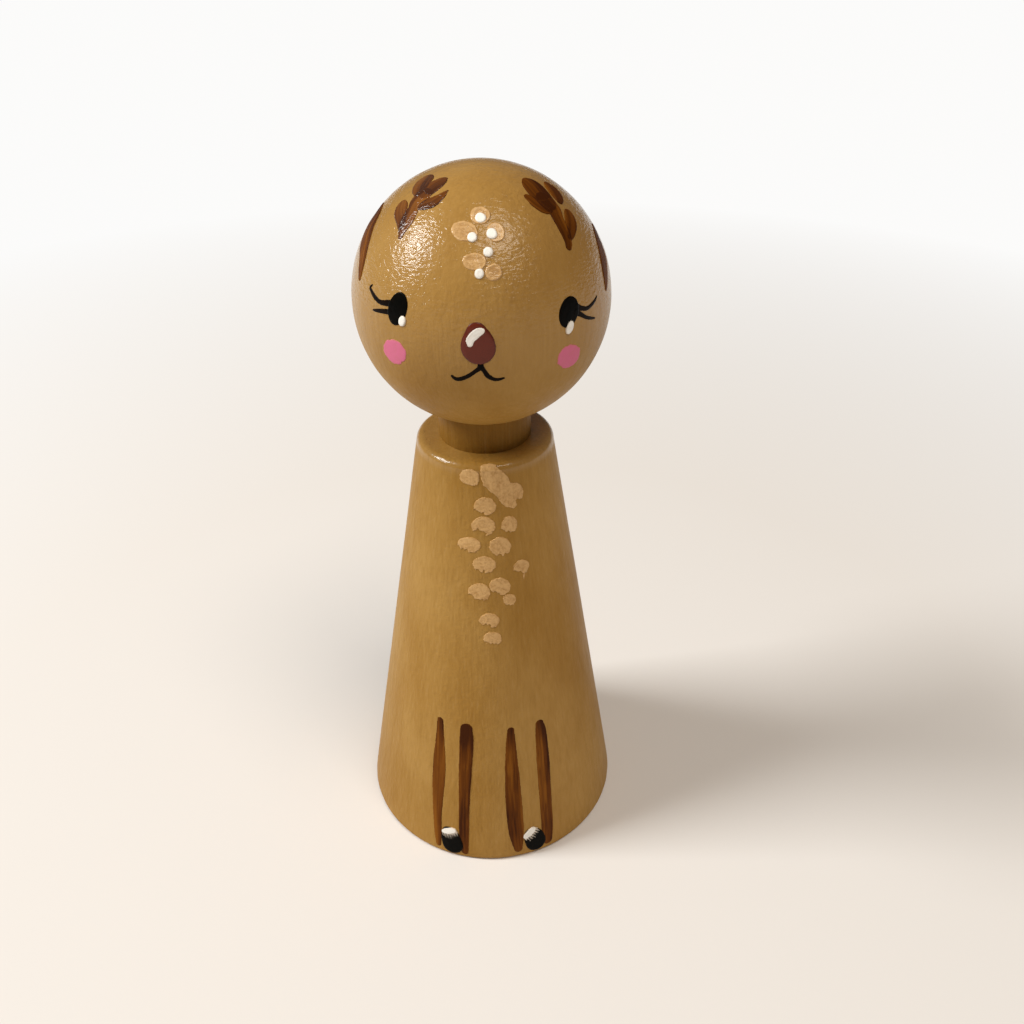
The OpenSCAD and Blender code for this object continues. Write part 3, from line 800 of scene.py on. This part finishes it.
# How far the shoulder's flat runs in under the dowel, and the dowel's skin on into the body and the head
TOP_LAP, NECK_LAP = 0.2, 1.0
# The head's skin begins at this share of the dowel's radius, and its last ring stands at this rise in degrees
HEAD_LAP_SHARE, HEAD_TOP_RISE = 0.97, 89.2


def lathe(name, rings, turns, skin):
    """A closed turned solid from rings of (radius, height), with each point at skin(radius, height, turn)."""
    vertices, faces = [], []
    for radius, z in rings:
        for k in range(turns):
            vertices.append(skin(radius, z, 2 * math.pi * k / turns))
    for r in range(len(rings) - 1):
        for k in range(turns):
            a, b = r * turns + k, r * turns + (k + 1) % turns
            faces.append([a, b, b + turns, a + turns])
    foot, top = len(vertices), len(vertices) + 1
    vertices += [skin(0.0, rings[0][1], 0.0), skin(0.0, rings[-1][1], 0.0)]
    last = (len(rings) - 1) * turns
    for k in range(turns):
        faces.append([(k + 1) % turns, k, foot])
        faces.append([last + k, last + (k + 1) % turns, top])
    mesh = bpy.data.meshes.new(name)
    mesh.from_pydata([(x * MM, y * MM, z * MM) for x, y, z in vertices], [], faces)
    mesh.update()
    mesh.shade_smooth()
    return mesh


def arc(centre, radius, start, end, steps):
    """Points of an arc, its angles counted in degrees from outward to upward."""
    angles = [math.radians(start + (end - start) * i / steps) for i in range(steps + 1)]
    return [(centre[0] + radius * math.cos(a), centre[1] + radius * math.sin(a)) for a in angles]


def body_rings():
    """The cone's profile, from the middle of its underside up to the dowel."""
    slope = math.degrees(SLOPE)
    foot_c = (side_r(FOOT_ROUND) - FOOT_ROUND / math.cos(SLOPE), FOOT_ROUND)
    flat_foot = [(foot_c[0] * k / FOOT_STEPS, 0.0) for k in range(1, FOOT_STEPS)]
    foot_arc = arc(foot_c, FOOT_ROUND, -90, slope, FOOT_ROUND_STEPS)
    top_arc = arc(SHOULDER_C, SHOULDER_ROUND, slope, 90, SHOULDER_ROUND_STEPS)
    low, rise = np.array(foot_arc[-1]), np.array(top_arc[0]) - foot_arc[-1]
    side = [tuple(low + rise * k / SIDE_STEPS) for k in range(1, SIDE_STEPS)]
    run_in = NECK_R - TOP_LAP - SHOULDER_C[0]
    flat_top = [(SHOULDER_C[0] + run_in * k / TOP_STEPS, BODY_H) for k in range(1, TOP_STEPS + 1)]
    return flat_foot + foot_arc + side + top_arc + flat_top


def make_body():
    def skin(radius, z, turn):
        on_side = 0 < z < SHOULDER_C[1]
        reach = radius + float(cone_dent(np.array(turn), np.array(z))) * on_side
        return (math.sin(turn) * reach, -math.cos(turn) * reach, z)
    mesh = lathe("turned_body", body_rings(), BODY_TURNS, skin)
    add_piece("turned_body", mesh, "painted_wood", "body")
    mesh.materials.append(MATERIALS["bare_wood"])
    facing_down = -0.9
    for face in mesh.polygons:
        if face.normal.z < facing_down:
            face.material_index = 1


def make_neck():
    low, high = BODY_H - NECK_LAP, HEAD_SEAT_Z + NECK_LAP
    rings = [(NECK_R, low + (high - low) * k / NECK_STEPS) for k in range(NECK_STEPS + 1)]

    def skin(radius, z, turn):
        reach = radius + float(neck_dent(turn, z))
        return (math.sin(turn) * reach, -math.cos(turn) * reach, z)
    add_piece("neck_dowel", lathe("neck_dowel", rings, NECK_TURNS, skin), "neck_wood", "neck_peg")


def make_head():
    low = -math.degrees(math.acos(NECK_R * HEAD_LAP_SHARE / HEAD_R))
    rings = [(HEAD_R * math.cos(math.radians(rise)), HEAD_R * math.sin(math.radians(rise)))
             for rise in np.linspace(low, HEAD_TOP_RISE, HEAD_STEPS)]

    def skin(radius, z, turn):
        d = np.array([math.sin(turn) * radius, -math.cos(turn) * radius, z]) / HEAD_R
        x, y, z = d * (HEAD_R + float(head_dent(d)))
        return (x, y, z + HEAD_Z)
    add_piece("turned_head", lathe("turned_head", rings, HEAD_TURNS, skin), "head_wood", "head")


# The painted marks. Places on the head are [turn, rise], and on the cone [turn, height share]
BROWN = Finish(0.055, 0.12, 0.14, 0.02, 0.5)
TAN = Finish(0.06, 0.14, 0.20, 0.05, 0.42, 0.35)
GLOSS = Finish(0.09, 0.16, 0.03, 0.015, 0.7)
LINE = Finish(0.06, 0.12, 0.08, 0.015, 0.5)
THIN = Finish(0.035, 0.34, 0.14, 0.09, 0.45)
DOT = Finish(0.13, 0.28, 0.04, 0.02, 0.5)
NOSE = Finish(0.14, 0.45, 0.03, 0.03, 0.8)
NOSE_GLINT = Finish(0.05, 0.16, 0.15, 0.04, 0.3)
CHEST = Finish(0.06, 0.10, 0.14, 0.06, 0.26)
HOOF = Finish(0.16, 0.35, 0.03, 0.03, 0.8)
HOOF_GLINT = Finish(0.05, 0.10, 0.20, 0.02, 0.25)
# How high the white lies on the paint under it
ON_DABS, ON_EYE, ON_NOSE, ON_HOOF = 0.03, 0.05, 0.125, 0.15
# How thick the paint of a stroke is, as a share of its finish's height
EAR_THICK, LASH_THICK, MOUTH_THICK, BRISTLE_THICK = 1.2, 0.62, 0.62, 0.7


def strokes_on(chart, strokes, thick=1.0):
    """Strokes on a chart, each given as its places and its width at each place."""
    return [Stroke(np.column_stack([chart.flat(places), widths]), thick) for places, widths in strokes]


def parted(points):
    """Points of a turn, a rise and a width as places and widths."""
    return [p[:2] for p in points], [p[2] for p in points]


# Each antler's look, the middle of its chart and its strokes: first the stem, then the leaves
ANTLERS = {
    "antler_left": ("varnished_brown", (-50, 54), [
        ([(-46, 40), (-47, 43.5), (-47.5, 47), (-48.5, 50.5), (-50, 53), (-51, 56), (-50.5, 59)],
         [0.6, 1.2, 1.65, 1.65, 1.3, 1.75, 2.1]),
        ([(-57.5, 60), (-61, 61.5), (-65.5, 63.5), (-70.5, 66), (-74.5, 68)], [1.2, 1.8, 2.1, 2.0, 0.8]),
        ([(-49, 60.5), (-49.5, 63), (-49.5, 65), (-48, 68), (-46.5, 70.5)], [1.5, 1.9, 2.0, 1.6, 0.7]),
        ([(-44, 54), (-41.5, 55.5), (-37, 57.5), (-33.5, 60.5), (-32, 63), (-30.5, 64.5)],
         [0.7, 1.3, 1.45, 1.05, 0.55, 0.2]),
        ([(-49.5, 44.5), (-53.5, 47), (-57.5, 49), (-61, 51), (-63.5, 52.8)], [1.1, 1.4, 1.65, 1.6, 0.8])]),
    "antler_right": ("brown_paint", (54, 48), [
        ([(47.5, 34.3), (49, 36.5), (50, 40), (50.5, 43), (51.8, 47), (54, 50), (53.5, 52), (53, 54.5)],
         [0.85, 1.1, 1.4, 1.45, 1.6, 1.8, 2.2, 2.5]),
        ([(53, 54.5), (54.5, 60), (57, 63.5), (58.2, 66.3)], [2.3, 2.75, 2.4, 1.3]),
        ([(49.5, 50.5), (46, 52), (43, 55), (41.5, 57.5), (40, 59.3)], [0.75, 1.25, 1.35, 1.1, 0.75]),
        ([(66, 52), (69.5, 54.2), (74, 57.2), (77, 59.7)], [0.9, 1.7, 1.95, 1.1]),
        ([(51.5, 37.5), (56, 40), (60.5, 43), (63.5, 45.3), (64.6, 46.5)], [0.8, 1.35, 1.7, 1.35, 0.7])])}


def make_antler(name, look, middle, strokes):
    chart = HeadChart(middle)
    film(name, chart, strokes_on(chart, strokes), BROWN, "brown_paint", look=look)


# The middle of each ear's chart, and its stroke
EARS = {
    "ear_left": ((-77, 34), (
        [(-92.5, 44.5), (-86, 42), (-83, 39), (-82, 36.5), (-79.5, 33.5), (-76.5, 31),
         (-74.5, 29.5), (-72, 27), (-70, 24.5), (-68.5, 21.5), (-67.5, 19), (-67, 17)],
        [0.5, 1.4, 2.2, 2.7, 2.9, 2.8, 2.5, 2.1, 1.75, 1.4, 1.0, 0.5])),
    "ear_right": ((77, 24), (
        [(87, 33.5), (83, 31.5), (80, 29), (78.5, 26.5), (77, 24), (75.5, 22),
         (73.5, 20), (72, 18), (70.5, 15.5), (69, 12.5), (68, 10.5)],
        [0.4, 0.9, 1.5, 2.0, 2.3, 2.4, 2.2, 1.9, 1.5, 1.0, 0.5]))}


def make_ear(name, middle, stroke):
    chart = HeadChart(middle)
    film(name, chart, strokes_on(chart, [stroke], EAR_THICK), BROWN, "brown_paint")


# Dabs by turn, rise, length, breadth and lean, dots by turn, rise and length, and a dot's breadth
FOREHEAD_AT = (0, 42)
FOREHEAD_DABS = [
    (0, 53.4, 2.05, 1.95, 17), (-9, 46.4, 2.7, 2.1, -65), (8.6, 45.7, 2.1, 1.8, 0),
    (-3.1, 34.2, 2.35, 1.7, -86), (5.4, 30.1, 1.7, 1.6, 60)]
FOREHEAD_DOTS = [(0.2, 52, 1.15), (-4.5, 43.8, 1.03), (6.1, 45.1, 1.16), (3.5, 37.9, 1.02), (-1, 29.6, 1.0)]
DOT_BREADTH_SHARE = 0.95


def make_forehead():
    chart = HeadChart(FOREHEAD_AT)
    dabs = [Blob(chart.flat([d])[0], *d[2:]) for d in FOREHEAD_DABS]
    film("forehead_dabs", chart, dabs, TAN, "tan_paint", look="varnished_tan")
    dots = [Blob(chart.flat([d])[0], d[2], d[2] * DOT_BREADTH_SHARE) for d in FOREHEAD_DOTS]
    film("forehead_dots", chart, dots, DOT, "white_paint", grid=0.05, base=ON_DABS)


# Each eye's place, length and breadth, lean, glint with its length and breadth, and upper and lower lash
EYES = {
    "left": ((-37, 12.7), (3.45, 2.3), 17, (-34.1, 8.5), (1.15, 0.85), [
        ([(-41, 14), (-47, 13), (-51, 14), (-54, 15.5), (-55.5, 16.7), (-54.3, 18)],
         [0.7, 0.52, 0.5, 0.42, 0.34, 0.24]),
        ([(-40.5, 10.6), (-46, 9.6), (-49, 9), (-51.7, 8.5)], [0.6, 0.47, 0.38, 0.2])]),
    "right": ((38, 10), (3.15, 2.55), 28, (37.7, 3.8), (1.4, 0.95), [
        ([(42.5, 11), (45.5, 9.5), (49, 8.5), (52.5, 9), (55.5, 10), (57, 11)],
         [0.75, 0.52, 0.46, 0.44, 0.36, 0.22]),
        ([(41.5, 9), (45, 7), (48, 5), (51.5, 3.5), (54.5, 2.5)], [0.7, 0.5, 0.4, 0.34, 0.2])])}


def make_eye(side, at, size, lean, glint_at, glint_size, lashes):
    chart = HeadChart(at)
    shapes = [Blob(chart.flat([at])[0], *size, lean)] + strokes_on(chart, lashes, LASH_THICK)
    film(f"eye_{side}", chart, shapes, GLOSS, "black_paint", grid=0.05)
    glint = Blob(chart.flat([glint_at])[0], *glint_size, lean)
    film(f"eye_glint_{side}", chart, [glint], DOT, "white_paint", grid=0.05, base=ON_EYE)


# Length and breadth of a cheek, and each cheek's place and lean
CHEEK_SIZE = (3.45, 2.7)
CHEEKS = {"left": ((-39.7, -6.3), 60), "right": ((39, -9.7), -61)}


def make_cheek(side, at, lean):
    blush = Blob((0, 0), *CHEEK_SIZE, lean)
    film(f"cheek_{side}", HeadChart(at), [blush], THIN, "pink_paint", grid=0.06)


# The nose's stroke, as points of (x, y, width) in millimetres round its middle, and the strokes near it
NOSE_AT = (-2, 2.7)
NOSE_STROKE = [(-0.12, 1.15, 2.0), (-0.05, 0.5, 2.75), (0.0, -0.2, 3.35), (0.06, -0.5, 3.4)]
NOSE_GLINT_STROKE = (
    [(-0.6, 7.9), (-2.1, 7.2), (-3.8, 5.9), (-5.0, 4.3), (-5.2, 2.8)], [0.65, 0.9, 0.92, 0.85, 0.6])
MOUTH = [
    ([(-1.2, -5.6), (-1.7, -8), (-3.7, -9.8), (-6.4, -12), (-9.7, -13.7), (-11.9, -13.8), (-13.2, -12.5)],
     [0.5, 0.54, 0.48, 0.5, 0.54, 0.46, 0.3]),
    ([(-1.2, -5.6), (-0.5, -8), (0.4, -9.8), (1.7, -12), (3.8, -13.6), (5.9, -14.1), (8.3, -13.6)],
     [0.44, 0.5, 0.5, 0.54, 0.48, 0.4, 0.26])]


def make_nose():
    chart = HeadChart(NOSE_AT)
    film("nose", chart, [Stroke(NOSE_STROKE)], NOSE, "nose_paint", grid=0.06)
    glint = strokes_on(chart, [NOSE_GLINT_STROKE])
    film("nose_glint", chart, glint, NOSE_GLINT, "white_paint", grid=0.04, base=ON_NOSE)


def make_mouth():
    chart = HeadChart(NOSE_AT)
    film("mouth", chart, strokes_on(chart, MOUTH, MOUTH_THICK), LINE, "black_paint", grid=0.045)


# Two masses by their outlines, dabs by turn, height share, length, breadth and lean, and a drip's points
CHEST_AT = (5, 0.8)
CHEST_MASS = [
    (-4.4, 0.998), (-1.7, 1.003), (2.5, 1.005), (7.8, 1.002), (10, 0.993), (13.9, 0.984), (17.4, 0.972),
    (19.2, 0.96), (24.1, 0.957), (27.9, 0.949), (29.4, 0.935), (28, 0.921), (24.1, 0.922), (22.1, 0.92),
    (22.9, 0.91), (20.6, 0.904), (17.4, 0.907), (13.4, 0.912), (10.5, 0.92), (8.2, 0.933), (5.8, 0.94),
    (1.9, 0.947), (-0.5, 0.956), (-2.8, 0.959), (-3.5, 0.972), (-4.8, 0.98), (-4.9, 0.989)]
CHEST_LEFT = [
    (-21.4, 0.976), (-19.3, 0.986), (-15.5, 0.992), (-10.2, 0.992), (-6.2, 0.987), (-5, 0.974), (-6.1, 0.963),
    (-8.9, 0.958), (-13.8, 0.959), (-18, 0.962), (-20.6, 0.967)]
CHEST_DABS = [
    (-1.3, 0.915, 2.6, 2.4, 80), (-2.8, 0.872, 2.8, 2.6, 75), (16.1, 0.87, 2.5, 1.95, -10),
    (-13.1, 0.83, 2.9, 2.1, 80), (8.8, 0.826, 2.8, 2.5, -39), (-2.7, 0.787, 2.8, 2.4, 85),
    (22.7, 0.772, 2.2, 1.9, -53), (7.3, 0.736, 2.7, 2.4, -57), (-6.2, 0.724, 2.8, 2.6, 60),
    (13.1, 0.703, 1.85, 1.6, -49), (0.1, 0.658, 2.5, 2.2, -88), (1.6, 0.614, 2.3, 2.1, -83)]
CHEST_DRIP = [(24.6, 0.765, 0.35), (24.4, 0.757, 0.28), (23.8, 0.748, 0.22), (23.6, 0.742, 0.12)]


def make_chest():
    chart = ConeChart(CHEST_AT)
    shapes = [Patch(chart.flat(CHEST_MASS)), Patch(chart.flat(CHEST_LEFT))]
    shapes += [Dab(chart.flat([d])[0], *d[2:]) for d in CHEST_DABS]
    shapes += strokes_on(chart, [parted(CHEST_DRIP)])
    film("chest_dabs", chart, shapes, CHEST, "tan_paint", grid=0.055)


# Each leg's thickness as for a stroke, and the turn, height share and width of its points from the top down
LEGS = {
    "leg_1": (1.0, [
        (-28.3, 0.385, 0.95), (-28, 0.333, 1.3), (-27.8, 0.278, 1.85), (-27.8, 0.22, 1.95),
        (-27.8, 0.162, 1.65), (-27.5, 0.103, 1.3), (-26.8, 0.056, 1.15), (-26.3, 0.024, 0.8)]),
    "leg_2": (1.35, [
        (-13.5, 0.38, 1.65), (-13.4, 0.35, 1.9), (-13.5, 0.31, 1.9), (-13.9, 0.242, 1.75),
        (-14.1, 0.185, 1.6), (-14.2, 0.126, 1.5), (-14, 0.066, 1.4), (-13.5, 0.022, 1.0)]),
    "leg_3": (1.1, [
        (9.9, 0.375, 0.95), (9.7, 0.352, 1.2), (9.5, 0.298, 1.65), (9.6, 0.242, 2.0),
        (9.7, 0.185, 2.25), (10, 0.126, 2.3), (10.4, 0.074, 2.1), (10.9, 0.028, 1.2)]),
    "leg_4": (1.1, [
        (26, 0.372, 1.2), (26.4, 0.346, 1.65), (26.4, 0.29, 1.9), (26.2, 0.234, 1.95),
        (26, 0.176, 1.9), (25.8, 0.117, 1.85), (25.6, 0.064, 1.8), (25.2, 0.028, 1.45)])}
# Which point of a leg gives its chart's turn, and the height share of that chart's middle
LEG_MIDDLE, LEG_MIDDLE_SHARE = 3, 0.2


def make_leg(name, thick, points):
    chart = ConeChart((points[LEG_MIDDLE][0], LEG_MIDDLE_SHARE))
    film(name, chart, strokes_on(chart, [parted(points)], thick), BROWN, "brown_paint", grid=0.08)


# Each hoof's stroke, and the place and lean of the white on it
HOOVES = {
    "left": (([(-21, 0.068), (-20.1, 0.053), (-19.3, 0.037)], [2.3, 3.0, 3.2]), (-21.2, 0.0745), 66),
    "right": (([(17.8, 0.062), (18.7, 0.05), (19.4, 0.036)], [2.4, 2.9, 3.0]), (16.6, 0.069), 48)}
# The white's full band by length, breadth and how far it lies above its place
BAND_L, BAND_W, BAND_UP = 2.25, 1.0, 0.10
# Its bristles: how many, how far apart, their length in the middle, and what they lose per millimetre from it
BRISTLES, BRISTLE_GAP, BRISTLE_L, BRISTLE_TAPER = 21, 0.104, 1.0, 0.35
# How far a bristle's end strays outward as a share of its start's, and its width at start, middle and end
BRISTLE_FAN, BRISTLE_WIDTHS = 0.12, (0.13, 0.10, 0.04)
# Two waves of length, each by its size and its radians from bristle to bristle
BRISTLE_WAVE, BRISTLE_RIPPLE = (0.22, 1.9), (0.24, 4.4)


def bristle_length(number, offset, lean):
    """An uneven length that falls off to both sides, and differs between hooves by their lean."""
    wave = BRISTLE_WAVE[0] * math.sin(BRISTLE_WAVE[1] * number + lean)
    ripple = BRISTLE_RIPPLE[0] * math.sin(BRISTLE_RIPPLE[1] * number)
    return BRISTLE_L + wave + ripple - BRISTLE_TAPER * abs(offset)


def make_hoof(side, stroke, glint_at, lean):
    """A hoof of black in one touch, with white brushed over its top that runs out over it in thin strokes."""
    chart = ConeChart(stroke[0][1])
    film(f"hoof_{side}", chart, strokes_on(chart, [stroke]), HOOF, "black_paint", grid=0.06)
    middle = chart.flat([glint_at])[0]
    a = math.radians(lean)
    along, down = np.array([math.sin(a), math.cos(a)]), np.array([math.cos(a), -math.sin(a)])
    white = [Blob(middle - BAND_UP * down, BAND_L, BAND_W, lean)]
    for number in range(BRISTLES):
        offset = (number - (BRISTLES - 1) / 2) * BRISTLE_GAP
        start = middle + along * offset
        end = start + down * bristle_length(number, offset, lean) + along * offset * BRISTLE_FAN
        places = start, (start + end) / 2, end
        white.append(Stroke([(*p, w) for p, w in zip(places, BRISTLE_WIDTHS)], BRISTLE_THICK))
    film(f"hoof_glint_{side}", chart, white, HOOF_GLINT, "white_paint", grid=0.03, base=ON_HOOF)


def make_marks():
    for name, antler in ANTLERS.items():
        make_antler(name, *antler)
    for name, ear in EARS.items():
        make_ear(name, *ear)
    make_forehead()
    for side, eye in EYES.items():
        make_eye(side, *eye)
    for side, cheek in CHEEKS.items():
        make_cheek(side, *cheek)
    make_nose()
    make_mouth()
    make_chest()
    for name, leg in LEGS.items():
        make_leg(name, *leg)
    for side, hoof in HOOVES.items():
        make_hoof(side, *hoof)


MATERIALS = make_materials()
add_camera()
add_floor()
add_light()
make_body()
make_neck()
make_head()
make_marks()
